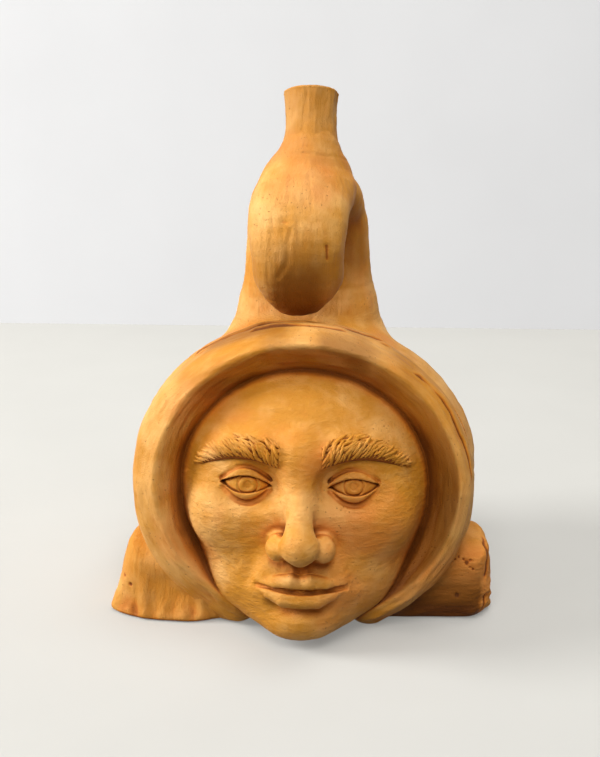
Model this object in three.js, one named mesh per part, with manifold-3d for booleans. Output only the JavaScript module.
// Face jug: a hand-built terracotta vessel with a hooded face, a stirrup handle and a leaning spout.
// Millimetres, +Z up. The face looks along -Y. The origin is the centre of the base slab's underside.
// Every clay member is a solid of its own, parted from its neighbours by the slip line that lutes them.
import * as THREE from "three";
import { mergeVertices } from "three/addons/utils/BufferGeometryUtils.js";
import Module from "manifold-3d";

const wasm = await Module();
wasm.setup();

// Driving dimensions of the joints between clay members
const SLIP_GAP = 0.3;

// Chamber: an egg-shaped pot that stands on a slab and is cut open at the front
const CHAMBER_HALF_WIDTH = 92.5;
const CHAMBER_HALF_DEPTH = 88;
const CHAMBER_RISE = 76;
const EGG_BELOW_FLOOR = 12;
const CHAMBER_CENTRE_HEIGHT = 72;
const CHAMBER_WALL = 8;
const BASE_THICKNESS = 8;

// Face plane: the tilted cut that carries the hood and the face
const FACE_TILT = THREE.MathUtils.degToRad(8);
const FACE_PLANE_AHEAD = 30;

// Hood: one thick roll of clay round the face, open under the chin
const HOOD_HALF_SPAN = 75;
const HOOD_RISE = 70;
const HOOD_DROP = 72;
const HOOD_CENTRE = -4;
const HOOD_HALF_BAND = 14;
const HOOD_HALF_DEPTH = 26;
const HOOD_STAND = 14;
const HOOD_END_ANGLE = THREE.MathUtils.degToRad(62);
const HOOD_END_BAND = 13;
const HOOD_END_DEPTH = 19;
const HOOD_END_STAND = 8;
const HOOD_SQUARENESS = 0.3;
const HOOD_RIDGE_AHEAD = 40;
const HOOD_RIDGE_OUT = 1;
const HOOD_BEVEL_SLOPE = 1.35;
const HOOD_BEVEL_EXTRA = 6;
const HOOD_BEVEL_WIDEST = THREE.MathUtils.degToRad(50);

// Mask: skull, jaw and chin lobes that melt into one relief
const MASK_CENTRE = -8;
const MASK_HALF_WIDTH = 69;
const MASK_RISE = 71;
const MASK_DROP = 70;
const MASK_WALL = 9;
const SKULL_HALF_WIDTH = 70;
const SKULL_HALF_HEIGHT = 66;
const SKULL_DEPTH = 54;
const JAW_HALF_WIDTH = 50;
const JAW_HALF_HEIGHT = 32;
const JAW_DEPTH = 36;
const JAW_STAND = 16;
const CHIN_HALF_WIDTH = 26;
const CHIN_HALF_HEIGHT = 15;
const CHIN_DEPTH = 29;
const CHIN_STAND = 24;
const LOBE_MELT = 14;

// Face layout: hairline, brow, nose and chin are equal thirds, and the eyes are one eye apart
const CHIN_BELOW = 80;
const FACE_THIRD = 48;
const EYE_WIDTH = 27;
const EYE_BELOW_BROW = 14;
const EYE_PROUD = 9;
const SOCKET_DEPTH = 11;
const BROW_RIDGE = 3;
const CHEEK_FULLNESS = 5;
const MOUTH_FULLNESS = 4;
const LID_THICKNESS = 2.8;
const UPPER_LID_LIFT = THREE.MathUtils.degToRad(30);
const LOWER_LID_DROP = THREE.MathUtils.degToRad(30);
const BROW_LENGTH = 40;
const BROW_THICKNESS = 3.4;
const BROW_BREADTH = 5.5;
const BROW_ARCH = 5;
const NOSE_HALF_WIDTH = 17;
const NOSE_ROOT_HALF_WIDTH = 7.5;
const NOSE_PROJECTION = 23;
const NOSE_TIP_RISE = 9;
const NOSE_MELT = 5;
const NOSTRIL_HALF_WIDTH = 3.2;
const MOUTH_HALF_WIDTH = 22;
const UPPER_LIP_BREADTH = 5;
const LOWER_LIP_BREADTH = 6;
const LIP_THICKNESS = 5.5;
const LIP_BOW = 2;

// Feet: one stub on each side of the hood, each set out from its outer front corner
const FOOT_TOP_BELOW_CENTRE = 31;
const FOOT_LENGTH = 44;
const FOOT_END_ROUND = 6;
const LEFT_FOOT_REACH = 105;
const LEFT_FOOT_AHEAD = 51;
const LEFT_FOOT_FLARE = 11;
const LEFT_FOOT_SPLAY = THREE.MathUtils.degToRad(4);
const LEFT_FOOT_TOP_ROUND = 18;
const RIGHT_FOOT_REACH = 101.5;
const RIGHT_FOOT_AHEAD = 53;
const RIGHT_FOOT_FLARE = 3;
const RIGHT_FOOT_SPLAY = THREE.MathUtils.degToRad(2);
const RIGHT_FOOT_TOP_ROUND = 12;

// Stirrup: the neck rises at the back, the limb springs forward from it and comes down behind the hood
const NECK_BEHIND = 39;
const NECK_LEFT = 2.5;
const NECK_HALF_WIDTH = 36;
const NECK_HALF_DEPTH = 24;
const NECK_SIDE_FLARE = 13;
const NECK_BACK_FLARE = 7;
const NECK_FLARE_HEIGHT = 40;
const NECK_WALL = 7;
const LIMB_AHEAD = 26;
const LIMB_TUCK = THREE.MathUtils.degToRad(66);
const ARCH_SPRING_ABOVE_CROWN = 44;
const ARCH_RISE = 28;
const LIMB_ROOT_HALF_WIDTH = 31;
const LIMB_HALF_WIDTH = 27;
const LIMB_TIP_HALF_WIDTH = 20;
const LIMB_LEFT = 3.5;
const LIMB_HALF_DEPTH = 18;
const LIMB_TIP_HALF_DEPTH = 14;
const LIMB_WALL = 7;

// Spout: a tube that leans back from the crown of the stirrup
const SPOUT_LEAN = THREE.MathUtils.degToRad(22);
const SPOUT_BEHIND = 4;
const SPOUT_HEIGHT = 52;
const SPOUT_FOOT_RADIUS = 24;
const SPOUT_WAIST_RADIUS = 13.2;
const SPOUT_LIP_RADIUS = 14.8;
const SPOUT_LIP_HEIGHT = 14;
const SPOUT_WALL = 4;

// Facet counts
const CHAMBER_COLUMNS = 38;
const CHAMBER_ROWS = 22;
const CAVITY_COLUMNS = 22;
const CAVITY_ROWS = 12;
const ROLL_STEPS = 36;
const ROLL_SIDES = 14;
const RELIEF_COLUMNS = 44;
const RELIEF_RINGS = 17;
const NOSE_COLUMNS = 16;
const NOSE_ROWS = 20;
const THREAD_STEPS = 9;
const THREAD_SIDES = 8;
const LIMB_STEPS = 18;
const LIMB_SIDES = 22;
const LIMB_BORE_SIDES = 12;
const NECK_SIDES = 28;
const NECK_STEPS = 9;
const LATHE_SEGMENTS = 24;
const ROUND_END_STEPS = 3;
const FAR = 600;

const { clamp, lerp } = THREE.MathUtils;
const chamberDrop = CHAMBER_CENTRE_HEIGHT + EGG_BELOW_FLOOR;
const chamberCrown = CHAMBER_CENTRE_HEIGHT + CHAMBER_RISE;
const footHeight = CHAMBER_CENTRE_HEIGHT - FOOT_TOP_BELOW_CENTRE;
const archSpring = chamberCrown + ARCH_SPRING_ABOVE_CROWN;

// Fired clay: the burnished vessel, the paler modelled front and the rougher feet
const clay = {
  vessel: new THREE.MeshStandardMaterial({ color: 0xcf8a4a, roughness: 0.72, metalness: 0 }),
  front: new THREE.MeshStandardMaterial({ color: 0xd6954f, roughness: 0.78, metalness: 0 }),
  foot: new THREE.MeshStandardMaterial({ color: 0xc47f42, roughness: 0.86, metalness: 0 }),
};

// A closed geometry as a solid that can be joined and cut
function solid(geometry) {
  const bare = geometry.index ? geometry.toNonIndexed() : geometry.clone();
  bare.deleteAttribute("normal");
  bare.deleteAttribute("uv");
  const merged = mergeVertices(bare, 1e-4);
  const corners = merged.index.array;
  const kept = [];
  for (let i = 0; i < corners.length; i += 3) {
    const [a, b, c] = corners.slice(i, i + 3);
    if (a !== b && b !== c && c !== a) kept.push(a, b, c);
  }
  const vertProperties = new Float32Array(merged.attributes.position.array);
  return new wasm.Manifold(new wasm.Mesh({ numProp: 3, vertProperties, triVerts: new Uint32Array(kept) }));
}

// The largest body of a solid: trimming can leave crumbs of clay, which are thrown away
function trimmed(cut) {
  return cut.decompose().reduce((best, body) => (body.volume() > best.volume() ? body : best));
}

// A solid as a named mesh
function member(name, cut, material) {
  const { numProp, numVert, vertProperties, triVerts } = trimmed(cut).getMesh();
  const points = new Float32Array(numVert * 3);
  for (let i = 0; i < numVert; i += 1) {
    points.set(vertProperties.subarray(i * numProp, i * numProp + 3), i * 3);
  }
  const geometry = new THREE.BufferGeometry();
  geometry.setAttribute("position", new THREE.BufferAttribute(points, 3));
  geometry.setIndex(new THREE.BufferAttribute(new Uint32Array(triVerts), 1));
  geometry.computeVertexNormals();
  const mesh = new THREE.Mesh(geometry, material);
  mesh.name = name;
  return mesh;
}

// A skin through rings of points, closed by a fan at each end
function loft(rings) {
  const sides = rings[0].length;
  const middle = (ring) =>
    ring.reduce((sum, point) => sum.add(point), new THREE.Vector3()).divideScalar(sides);
  const points = [...rings.flat(), middle(rings[0]), middle(rings.at(-1))];
  const first = rings.length * sides;
  const index = [];
  for (let k = 0; k < sides; k += 1) {
    const next = (k + 1) % sides;
    for (let i = 0; i + 1 < rings.length; i += 1) {
      const here = i * sides;
      const there = here + sides;
      index.push(here + k, here + next, there + next, here + k, there + next, there + k);
    }
    const last = (rings.length - 1) * sides;
    index.push(first, next, k, first + 1, last + k, last + next);
  }
  return new THREE.BufferGeometry().setFromPoints(points).setIndex(index);
}

// A roll of clay: elliptical sections along a spine, across by up, with its ends rounded or cut flat.
// spine(t) is a point, across(t) the side direction, and half(t) the two half-sizes.
const oval = (t, turn, broad, thick) => [broad * Math.cos(turn), thick * Math.sin(turn)];

function roll({ spine, across, half, section = oval, steps, sides, grow = 0, flatStart = false, flatEnd = false }) {
  const step = 1e-3;
  const ring = (t, shrink, ahead) => {
    const tangent = spine(Math.min(t + step, 1)).sub(spine(Math.max(t - step, 0))).normalize();
    const side = across(t).clone();
    side.addScaledVector(tangent, -side.dot(tangent)).normalize();
    const up = new THREE.Vector3().crossVectors(tangent, side);
    const [broad, thick] = half(t).map((size) => (size + grow) * shrink);
    const centre = spine(t).addScaledVector(tangent, ahead);
    return Array.from({ length: sides }, (_, k) => {
      const [back, inward] = section(t, (2 * Math.PI * k) / sides, broad, thick);
      return centre.clone().addScaledVector(side, back).addScaledVector(up, inward);
    });
  };
  const roundEnd = (t, sign) =>
    Array.from({ length: ROUND_END_STEPS }, (_, i) => {
      const turn = (Math.PI / 2) * ((i + 1) / (ROUND_END_STEPS + 0.5));
      const reach = Math.min(...half(t)) + grow;
      return ring(t, Math.cos(turn), sign * reach * Math.sin(turn));
    });
  const rings = [];
  if (flatStart) rings.push(ring(0, 1, -grow));
  else rings.push(...roundEnd(0, -1).reverse(), ring(0, 1, 0));
  for (let i = 1; i < steps; i += 1) rings.push(ring(i / steps, 1, 0));
  if (flatEnd) rings.push(ring(1, 1, grow));
  else rings.push(ring(1, 1, 0), ...roundEnd(1, 1));
  return loft(rings);
}

// An ellipsoid with its poles on the Z axis
function ellipsoid(halfWidth, halfDepth, halfHeight, columns, rows) {
  return new THREE.SphereGeometry(1, columns, rows)
    .rotateX(Math.PI / 2)
    .scale(halfWidth, halfDepth, halfHeight);
}

// The frames of the face and of the spout, as groups whose children are built in their own axes
const faceFrame = new THREE.Group();
faceFrame.rotation.x = -FACE_TILT;
faceFrame.position.set(
  0,
  -FACE_PLANE_AHEAD * Math.cos(FACE_TILT),
  CHAMBER_CENTRE_HEIGHT + FACE_PLANE_AHEAD * Math.sin(FACE_TILT),
);
const spoutFrame = new THREE.Group();
spoutFrame.rotation.x = -SPOUT_LEAN;
spoutFrame.position.set(0, SPOUT_BEHIND, archSpring + ARCH_RISE);
for (const frame of [faceFrame, spoutFrame]) frame.updateMatrix();
const leave = (frame, geometry) => geometry.clone().applyMatrix4(frame.matrix);
const enter = (frame, geometry) => geometry.clone().applyMatrix4(frame.matrix.clone().invert());

// Everything under the floor, ahead of the face plane, and behind it with the slip line
const underFloor = new THREE.BoxGeometry(FAR, FAR, FAR).translate(0, 0, -FAR / 2);
const aheadOfFace = leave(faceFrame, new THREE.BoxGeometry(FAR, FAR, FAR).translate(0, -FAR / 2, 0));
const behindFace = new THREE.BoxGeometry(FAR, FAR, FAR).translate(0, FAR / 2 - SLIP_GAP, 0);
const floorInFace = enter(faceFrame, underFloor);

// Chamber: the upper and the lower half have heights of their own
function chamberShape(grow, columns, rows) {
  const shape = ellipsoid(CHAMBER_HALF_WIDTH + grow, CHAMBER_HALF_DEPTH + grow, 1, columns, rows);
  const { position } = shape.attributes;
  for (let i = 0; i < position.count; i += 1) {
    const level = position.getZ(i);
    position.setZ(i, level * ((level > 0 ? CHAMBER_RISE : chamberDrop) + grow));
  }
  return shape.translate(0, 0, CHAMBER_CENTRE_HEIGHT);
}

const chamberForm = (grow) => chamberShape(grow, CHAMBER_COLUMNS, CHAMBER_ROWS);
const chamberCavity = () => chamberShape(-CHAMBER_WALL, CAVITY_COLUMNS, CAVITY_ROWS);

// Stirrup neck: an oval tube that flares over the chamber and narrows to the limb's section at the spring
function neckShape(inset, low, high) {
  const level = (t) => lerp(low, high, t);
  const spine = (t) => new THREE.Vector3(-NECK_LEFT, NECK_BEHIND, level(t));
  const half = (t) => {
    const climb = clamp((level(t) - chamberCrown) / ARCH_SPRING_ABOVE_CROWN, 0, 1);
    const spread = clamp((chamberCrown + NECK_FLARE_HEIGHT * 0.4 - level(t)) / NECK_FLARE_HEIGHT, 0, 1);
    return [
      lerp(NECK_HALF_WIDTH, LIMB_ROOT_HALF_WIDTH, climb) + NECK_SIDE_FLARE * spread ** 2 + inset,
      lerp(NECK_HALF_DEPTH, LIMB_HALF_DEPTH, climb) + NECK_BACK_FLARE * spread ** 2 + inset,
    ];
  };
  const across = () => new THREE.Vector3(1, 0, 0);
  const flat = { flatStart: true, flatEnd: true };
  return roll({ spine, across, half, steps: NECK_STEPS, sides: NECK_SIDES, ...flat });
}

const neckFoot = CHAMBER_CENTRE_HEIGHT + CHAMBER_RISE / 2;
const neckForm = (grow) => neckShape(grow, neckFoot, archSpring + grow);
const neckBore = () => neckShape(-NECK_WALL, CHAMBER_CENTRE_HEIGHT, archSpring + 1);

// Stirrup limb: over the arch from the neck's axis to its own, then on round and back to a rounded tip
function limbSpine(t) {
  const turn = (Math.PI + LIMB_TUCK) * t;
  const middle = (NECK_BEHIND - LIMB_AHEAD) / 2;
  const span = (NECK_BEHIND + LIMB_AHEAD) / 2;
  const tipCentre = chamberCrown + LIMB_TIP_HALF_DEPTH * 0.9;
  const drop = (archSpring - tipCentre) / Math.sin(LIMB_TUCK);
  const height = Math.sin(turn) > 0 ? ARCH_RISE : drop;
  return new THREE.Vector3(
    lerp(-LIMB_LEFT, -NECK_LEFT, (1 + Math.cos(Math.min(turn, Math.PI))) / 2),
    middle + span * Math.cos(turn),
    archSpring + height * Math.sin(turn),
  );
}

function limbForm(inset, sides) {
  const half = (t) => {
    const fall = Math.max(2 * t - 1, 0) ** 1.5;
    const shoulder = lerp(LIMB_ROOT_HALF_WIDTH, LIMB_HALF_WIDTH, Math.min(2.5 * t, 1));
    return [
      lerp(shoulder, LIMB_TIP_HALF_WIDTH, fall) + inset,
      lerp(LIMB_HALF_DEPTH, LIMB_TIP_HALF_DEPTH, fall) + inset,
    ];
  };
  const across = () => new THREE.Vector3(1, 0, 0);
  const flatStart = inset >= 0;
  return roll({ spine: limbSpine, across, half, steps: LIMB_STEPS, sides, flatStart });
}

// Spout: a turned profile with a flared foot, a waist and a flared lip, in its own frame
function spoutForm(grow) {
  const lipStart = SPOUT_HEIGHT - SPOUT_LIP_HEIGHT;
  const curve = new THREE.SplineCurve([
    new THREE.Vector2(SPOUT_FOOT_RADIUS + grow, 0),
    new THREE.Vector2(lerp(SPOUT_WAIST_RADIUS, SPOUT_FOOT_RADIUS, 0.33) + grow, lipStart * 0.5),
    new THREE.Vector2(SPOUT_WAIST_RADIUS + grow, lipStart),
    new THREE.Vector2(SPOUT_LIP_RADIUS + grow, SPOUT_HEIGHT),
  ]);
  const outline = [new THREE.Vector2(0, 0), ...curve.getPoints(10), new THREE.Vector2(0, SPOUT_HEIGHT)];
  return new THREE.LatheGeometry(outline, LATHE_SEGMENTS).rotateX(Math.PI / 2);
}

function spoutBore() {
  const waist = SPOUT_WAIST_RADIUS - SPOUT_WALL;
  const lip = SPOUT_LIP_RADIUS - SPOUT_WALL;
  const outline = [
    new THREE.Vector2(0, -ARCH_RISE),
    new THREE.Vector2(waist, -ARCH_RISE),
    new THREE.Vector2(waist, SPOUT_HEIGHT - SPOUT_LIP_HEIGHT),
    new THREE.Vector2(lip, SPOUT_HEIGHT + 1),
    new THREE.Vector2(0, SPOUT_HEIGHT + 1),
  ];
  return new THREE.LatheGeometry(outline, LATHE_SEGMENTS).rotateX(Math.PI / 2);
}

// Hood: a roll in the face plane, from one side of the chin over the crown to the other, bevelled towards the face
function hoodForm(grow) {
  const angle = (t) => lerp(-HOOD_END_ANGLE, Math.PI + HOOD_END_ANGLE, t);
  const low = (t) => Math.max(-Math.sin(angle(t)), 0);
  const stand = (t) => lerp(HOOD_STAND, HOOD_END_STAND, low(t));
  const spine = (t) => {
    const turn = angle(t);
    const height = Math.sin(turn) > 0 ? HOOD_RISE : HOOD_DROP;
    return new THREE.Vector3(HOOD_HALF_SPAN * Math.cos(turn), -stand(t), HOOD_CENTRE + height * Math.sin(turn));
  };
  const half = (t) => [lerp(HOOD_HALF_DEPTH, HOOD_END_DEPTH, low(t)), lerp(HOOD_HALF_BAND, HOOD_END_BAND, low(t))];
  const section = (t, turn, broad, thick) => {
    const [c, s] = [Math.cos(turn), Math.sin(turn)];
    const fuller = 1 / lerp(1, (c ** 4 + s ** 4) ** 0.25, HOOD_SQUARENESS);
    const out = -thick * fuller * s;
    const widen = (HOOD_BEVEL_EXTRA * (1 + Math.cos(angle(t) - HOOD_BEVEL_WIDEST))) / 2;
    const ridge = HOOD_RIDGE_AHEAD * lerp(1, HOOD_END_DEPTH / HOOD_HALF_DEPTH, low(t));
    const spread = grow * Math.hypot(1, HOOD_BEVEL_SLOPE);
    const bevel = ridge + (out - HOOD_RIDGE_OUT - widen) * HOOD_BEVEL_SLOPE + spread;
    return [Math.max(broad * fuller * c, stand(t) - bevel), -out];
  };
  const across = () => new THREE.Vector3(0, 1, 0);
  return roll({ spine, across, half, section, steps: ROLL_STEPS, sides: ROLL_SIDES, grow });
}

// Face relief: the height of the clay ahead of the face plane at a place across it
const noseBase = FACE_THIRD - CHIN_BELOW;
const browLine = noseBase + FACE_THIRD;
const eyeLine = browLine - EYE_BELOW_BROW;
const mouthLine = noseBase - FACE_THIRD / 3;
const eyeOut = EYE_WIDTH;
const eyeRadius = EYE_WIDTH / 2;

function lobe(x, up, centre, stand, halfWidth, halfHeight, depth) {
  const inside = 1 - (x / halfWidth) ** 2 - ((up - centre) / halfHeight) ** 2;
  return stand + depth * Math.sign(inside) * Math.sqrt(Math.abs(inside));
}

function melt(a, b, reach) {
  const near = Math.max(reach - Math.abs(a - b), 0) / reach;
  return Math.max(a, b) + (near * near * reach) / 4;
}

function swell(x, up, out, height, reach, rise) {
  return Math.exp(-(((Math.abs(x) - out) / reach) ** 2) - ((up - height) / rise) ** 2);
}

function relief(x, up) {
  const chinCentre = CHIN_HALF_HEIGHT - CHIN_BELOW;
  const jawCentre = JAW_HALF_HEIGHT - CHIN_BELOW;
  const skull = lobe(x, up, HOOD_CENTRE, 0, SKULL_HALF_WIDTH, SKULL_HALF_HEIGHT, SKULL_DEPTH);
  const jaw = lobe(x, up, jawCentre, JAW_STAND, JAW_HALF_WIDTH, JAW_HALF_HEIGHT, JAW_DEPTH);
  const chin = lobe(x, up, chinCentre, CHIN_STAND, CHIN_HALF_WIDTH, CHIN_HALF_HEIGHT, CHIN_DEPTH);
  const cheekLine = (eyeLine + noseBase) / 2;
  return (
    melt(melt(skull, jaw, LOBE_MELT), chin, LOBE_MELT) +
    BROW_RIDGE * swell(x, up, EYE_WIDTH, browLine, EYE_WIDTH, EYE_BELOW_BROW / 2) -
    SOCKET_DEPTH * swell(x, up, eyeOut, eyeLine, EYE_WIDTH * 0.7, EYE_BELOW_BROW * 0.9) +
    CHEEK_FULLNESS * swell(x, up, EYE_WIDTH * 1.5, cheekLine, EYE_WIDTH * 0.7, EYE_WIDTH * 0.6) +
    MOUTH_FULLNESS * swell(x, up, 0, mouthLine, MOUTH_HALF_WIDTH, FACE_THIRD / 3)
  );
}

// The relief as a closed block: rings from the middle to the oval rim, a straight side and a flat back
function maskForm(grow) {
  const place = (share, k, depth) => {
    const turn = (2 * Math.PI * k) / RELIEF_COLUMNS;
    const reach = Math.sin(turn) > 0 ? MASK_RISE : MASK_DROP;
    const x = share * MASK_HALF_WIDTH * Math.cos(turn);
    const up = MASK_CENTRE + share * reach * Math.sin(turn);
    const spread = share * grow;
    return new THREE.Vector3(x + spread * Math.cos(turn), -depth(x, up), up + spread * Math.sin(turn));
  };
  const columns = Array.from({ length: RELIEF_COLUMNS }, (_, k) => k);
  const front = (x, up) => Math.max(relief(x, up), MASK_WALL / 2) + grow;
  const back = () => -CHAMBER_WALL;
  const rings = [columns.map((k) => place(1, k, back))];
  for (let i = RELIEF_RINGS; i >= 1; i -= 1) {
    const even = i / RELIEF_RINGS;
    const share = (even + Math.sin((Math.PI / 2) * even)) / 2;
    rings.push(columns.map((k) => place(share, k, front)));
  }
  return loft(rings);
}

const maskCavity = ellipsoid(
  SKULL_HALF_WIDTH - MASK_WALL,
  SKULL_DEPTH - MASK_WALL,
  SKULL_HALF_HEIGHT - MASK_WALL,
  CAVITY_COLUMNS,
  CAVITY_ROWS,
).translate(0, 0, HOOD_CENTRE);

// A point on the face, a little proud of the relief
const onFace = (x, up, proud) => new THREE.Vector3(x, -relief(x, up) - proud, up);
const outward = () => new THREE.Vector3(0, -1, 0);

// Eyes: a ball pressed into each socket under two threads of clay for lids
function eyeCentre(side) {
  return onFace(side * eyeOut, eyeLine, EYE_PROUD - eyeRadius);
}

function eyeForm(side, grow) {
  const size = eyeRadius + grow;
  return ellipsoid(size, size, size, 22, 14).translate(...eyeCentre(side).toArray());
}

function lidForm(side, lift, grow) {
  const spread = THREE.MathUtils.degToRad(76);
  const spine = (t) => {
    const turn = lerp(-spread, spread, t);
    const rise = lift * Math.cos(turn);
    const direction = new THREE.Vector3(
      Math.sin(turn) * Math.cos(rise),
      -Math.cos(turn) * Math.cos(rise),
      Math.sin(rise),
    );
    return eyeCentre(side).addScaledVector(direction, eyeRadius);
  };
  const across = (t) => eyeCentre(side).sub(spine(t)).negate();
  const half = (t) => {
    const full = lerp(0.45, 1, Math.sin(Math.PI * t));
    return [LID_THICKNESS * full, LID_THICKNESS * full];
  };
  return roll({ spine, across, half, steps: THREAD_STEPS, sides: THREAD_SIDES, grow });
}

// Brow: a thread that is broad by the nose and thins as it arches outwards
function browForm(side, grow) {
  const start = eyeOut - EYE_WIDTH * 0.62;
  const spine = (t) =>
    onFace(side * (start + BROW_LENGTH * t), browLine + BROW_ARCH * (Math.sin(Math.PI * t) - t * t), 0);
  const half = (t) => [
    lerp(BROW_THICKNESS, BROW_THICKNESS * 0.5, t),
    lerp(BROW_BREADTH, BROW_BREADTH * 0.4, t),
  ];
  return roll({ spine, across: outward, half, steps: THREAD_STEPS, sides: THREAD_SIDES, grow });
}

// Nose: a tapering bridge, a tip and two wings melted into one relief over the mask, with two nostrils
const noseRoot = browLine - EYE_BELOW_BROW / 3;
const noseTip = noseBase + NOSE_TIP_RISE;

function mound(x, up, centre, halfWidth, halfHeight, top, fall) {
  return top - fall * ((x / halfWidth) ** 2 + ((up - centre) / halfHeight) ** 2);
}

function noseRelief(x, up) {
  const along = clamp((noseRoot - up) / (noseRoot - noseTip), 0, 1);
  const crest = lerp(NOSE_PROJECTION * 0.2, NOSE_PROJECTION * 0.82, along ** 1.3);
  const wide = lerp(NOSE_ROOT_HALF_WIDTH, NOSE_HALF_WIDTH * 0.75, along);
  const fade = (Math.max(up - noseRoot, 0) / EYE_BELOW_BROW) ** 2;
  const under = (Math.max(noseTip - up, 0) / NOSE_TIP_RISE) ** 2;
  const bridge = crest * (1 - (x / wide) ** 2) - NOSE_PROJECTION * (fade + under);
  const tipSize = NOSE_HALF_WIDTH * 0.55;
  const tip = mound(x, up, noseTip, tipSize, NOSE_TIP_RISE * 0.9, NOSE_PROJECTION, tipSize);
  const wingSize = NOSE_HALF_WIDTH * 0.42;
  const wingOut = Math.abs(x) - NOSE_HALF_WIDTH + wingSize;
  const wingTop = NOSE_PROJECTION * 0.45;
  const wing = mound(wingOut, up, noseBase + wingSize, wingSize, wingSize, wingTop, wingTop);
  return melt(melt(bridge, tip, NOSE_MELT), wing, NOSE_MELT);
}

function noseSolid() {
  const bottom = noseBase - NOSE_MELT;
  const top = noseRoot + EYE_BELOW_BROW;
  const row = (t, j) => {
    const up = lerp(bottom, top, t ** 1.4);
    const x = NOSE_HALF_WIDTH * 1.2 * lerp(-1, 1, j / NOSE_COLUMNS);
    return [x, up];
  };
  const rings = [];
  for (let i = 0; i <= NOSE_ROWS; i += 1) {
    const places = Array.from({ length: NOSE_COLUMNS + 1 }, (_, j) => row(i / NOSE_ROWS, j));
    const skin = places.map(([x, up]) => onFace(x, up, Math.max(noseRelief(x, up), -2)));
    const root = places.map(([x, up]) => onFace(x, up, -MASK_WALL)).reverse();
    rings.push([...root, ...skin]);
  }
  let nose = solid(loft(rings));
  for (const side of [-1, 1]) {
    const size = NOSTRIL_HALF_WIDTH;
    const nostril = ellipsoid(size, size * 1.5, size * 1.4, 12, 8);
    const reach = NOSE_HALF_WIDTH * 0.42;
    nostril.translate(...onFace(side * reach, noseBase + 1, NOSE_PROJECTION * 0.42).toArray());
    nose = nose.subtract(solid(nostril));
  }
  return nose;
}

// Lips: two rolls that taper to shared corners, the upper one drawn into a bow
function lipForm(upper, grow) {
  const breadth = upper ? UPPER_LIP_BREADTH : LOWER_LIP_BREADTH;
  const spine = (t) => {
    const x = lerp(-MOUTH_HALF_WIDTH, MOUTH_HALF_WIDTH, t);
    const full = Math.cos((Math.PI / 2) * (2 * t - 1));
    const bow = LIP_BOW * Math.exp(-((x / (MOUTH_HALF_WIDTH * 0.25)) ** 2));
    const up = upper ? mouthLine + breadth * 0.8 * full - bow : mouthLine - breadth * 0.9 * full;
    return onFace(x, up, 0);
  };
  const half = (t) => {
    const full = lerp(0.35, 1, Math.sin(Math.PI * t));
    return [LIP_THICKNESS * full, breadth * full];
  };
  return roll({ spine, across: outward, half, steps: THREAD_STEPS + 4, sides: THREAD_SIDES, grow });
}

// Foot: a log with a rounded top that runs out from the hood, sheared so that its end flares to the floor
function footForm({ side, reach, ahead, flare, splay, topRound }) {
  const edge = FOOT_END_ROUND;
  const round = topRound - edge;
  const top = footHeight - edge;
  const [near, far] = [edge, FOOT_LENGTH - edge];
  const outline = new THREE.Shape();
  outline.moveTo(near, -edge);
  outline.lineTo(far, -edge);
  outline.lineTo(far, top - round);
  outline.quadraticCurveTo(far, top, far - round, top);
  outline.lineTo(near + round, top);
  outline.quadraticCurveTo(near, top, near, top - round);
  outline.closePath();
  const length = reach * 0.55;
  const log = new THREE.ExtrudeGeometry(outline, {
    depth: length - 2 * edge,
    bevelSize: edge,
    bevelThickness: edge,
    bevelSegments: 3,
    curveSegments: 6,
  });
  log.translate(0, 0, edge - length);
  const axes = [[0, side, 0], [0, 0, 1], [side, 0, 0]].map((axis) => new THREE.Vector3(...axis));
  log.applyMatrix4(new THREE.Matrix4().makeBasis(...axes));
  if (side < 0) log.translate(0, FOOT_LENGTH, 0);
  log.applyMatrix4(new THREE.Matrix4().makeShear(0, 0, 0, 0, (-side * flare) / footHeight, 0));
  return log.rotateZ(side * splay).translate(side * reach, -ahead, 0);
}

// Cutting tools shared by several members
const chamberCut = solid(chamberForm(SLIP_GAP));
const neckCut = solid(neckForm(SLIP_GAP));
const limbCut = solid(limbForm(SLIP_GAP, LIMB_SIDES));
const maskCut = solid(maskForm(SLIP_GAP));
const hoodCut = solid(leave(faceFrame, hoodForm(SLIP_GAP)));
const maskSeat = solid(leave(faceFrame, maskForm(SLIP_GAP)));
const neckHollow = solid(neckBore());
const limbHollow = solid(limbForm(-LIMB_WALL, LIMB_BORE_SIDES));
const spoutHollow = solid(leave(spoutFrame, spoutBore()));
const floorCut = solid(underFloor);
const wallSeat = underFloor.clone().translate(0, 0, BASE_THICKNESS + SLIP_GAP);
const slabTop = new THREE.BoxGeometry(FAR, FAR, FAR).translate(0, 0, FAR / 2 + BASE_THICKNESS);

const jug = new THREE.Group();
jug.name = "face_jug";
jug.add(faceFrame, spoutFrame);

// Vessel
jug.add(
  member(
    "chamber_wall",
    solid(chamberForm(0))
      .subtract(solid(chamberCavity()))
      .subtract(solid(wallSeat))
      .subtract(solid(aheadOfFace))
      .subtract(neckHollow),
    clay.vessel,
  ),
  member(
    "base_slab",
    solid(chamberForm(0)).subtract(floorCut).subtract(solid(slabTop)).subtract(solid(aheadOfFace)),
    clay.foot,
  ),
  member(
    "rear_neck",
    solid(neckForm(0)).subtract(neckHollow).subtract(chamberCut).subtract(limbHollow).subtract(spoutHollow),
    clay.vessel,
  ),
  member(
    "front_limb",
    solid(limbForm(0, LIMB_SIDES))
      .subtract(limbHollow)
      .subtract(neckCut)
      .subtract(spoutHollow)
      .subtract(chamberCut)
      .subtract(hoodCut),
    clay.vessel,
  ),
);
spoutFrame.add(
  member(
    "spout",
    solid(spoutForm(0))
      .subtract(solid(spoutBore()))
      .subtract(solid(enter(spoutFrame, neckForm(SLIP_GAP))))
      .subtract(solid(enter(spoutFrame, limbForm(SLIP_GAP, LIMB_SIDES)))),
    clay.vessel,
  ),
);

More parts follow.
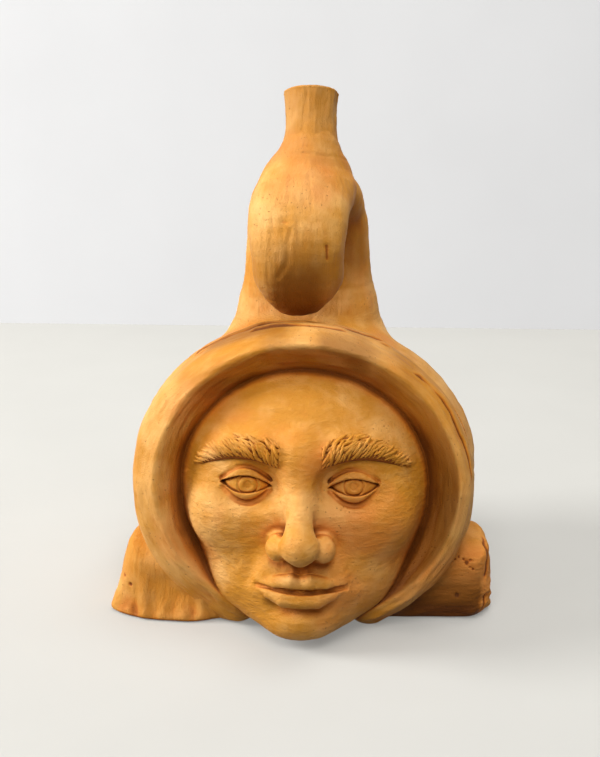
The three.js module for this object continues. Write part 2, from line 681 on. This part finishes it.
// Feet
const feet = {
  left_foot: {
    side: -1,
    reach: LEFT_FOOT_REACH,
    ahead: LEFT_FOOT_AHEAD,
    flare: LEFT_FOOT_FLARE,
    splay: LEFT_FOOT_SPLAY,
    topRound: LEFT_FOOT_TOP_ROUND,
  },
  right_foot: {
    side: 1,
    reach: RIGHT_FOOT_REACH,
    ahead: RIGHT_FOOT_AHEAD,
    flare: RIGHT_FOOT_FLARE,
    splay: RIGHT_FOOT_SPLAY,
    topRound: RIGHT_FOOT_TOP_ROUND,
  },
};
for (const [name, sizes] of Object.entries(feet)) {
  const stub = solid(footForm(sizes)).subtract(chamberCut).subtract(hoodCut).subtract(maskSeat);
  jug.add(member(name, stub.subtract(floorCut), clay.foot));
}

// Face
faceFrame.add(
  member(
    "hood_roll",
    solid(hoodForm(0)).subtract(maskCut).subtract(solid(behindFace)).subtract(solid(floorInFace)),
    clay.front,
  ),
  member(
    "face_mask",
    solid(maskForm(0)).subtract(solid(maskCavity)).subtract(solid(behindFace)).subtract(solid(floorInFace)),
    clay.front,
  ),
);
let nose = noseSolid().subtract(maskCut);
for (const [name, side] of [["left", -1], ["right", 1]]) {
  const eyeCut = solid(eyeForm(side, SLIP_GAP));
  const upperCut = solid(lidForm(side, UPPER_LID_LIFT, SLIP_GAP));
  const lowerCut = solid(lidForm(side, -LOWER_LID_DROP, SLIP_GAP));
  const browCut = solid(browForm(side, SLIP_GAP));
  const upperLid = solid(lidForm(side, UPPER_LID_LIFT, 0));
  const lowerLid = solid(lidForm(side, -LOWER_LID_DROP, 0));
  faceFrame.add(
    member(`${name}_eyeball`, solid(eyeForm(side, 0)).subtract(maskCut), clay.front),
    member(`${name}_upper_lid`, upperLid.subtract(eyeCut).subtract(maskCut), clay.front),
    member(`${name}_lower_lid`, lowerLid.subtract(eyeCut).subtract(maskCut).subtract(upperCut), clay.front),
    member(`${name}_brow`, solid(browForm(side, 0)).subtract(maskCut).subtract(upperCut), clay.front),
  );
  nose = nose.subtract(eyeCut).subtract(upperCut).subtract(lowerCut).subtract(browCut);
}
const upperLipCut = solid(lipForm(true, SLIP_GAP));
const upperLip = solid(lipForm(true, 0)).subtract(maskCut);
const lowerLip = solid(lipForm(false, 0)).subtract(maskCut).subtract(upperLipCut);
faceFrame.add(
  member("nose", nose.subtract(upperLipCut), clay.front),
  member("upper_lip", upperLip, clay.front),
  member("lower_lip", lowerLip, clay.front),
);

export default jug;
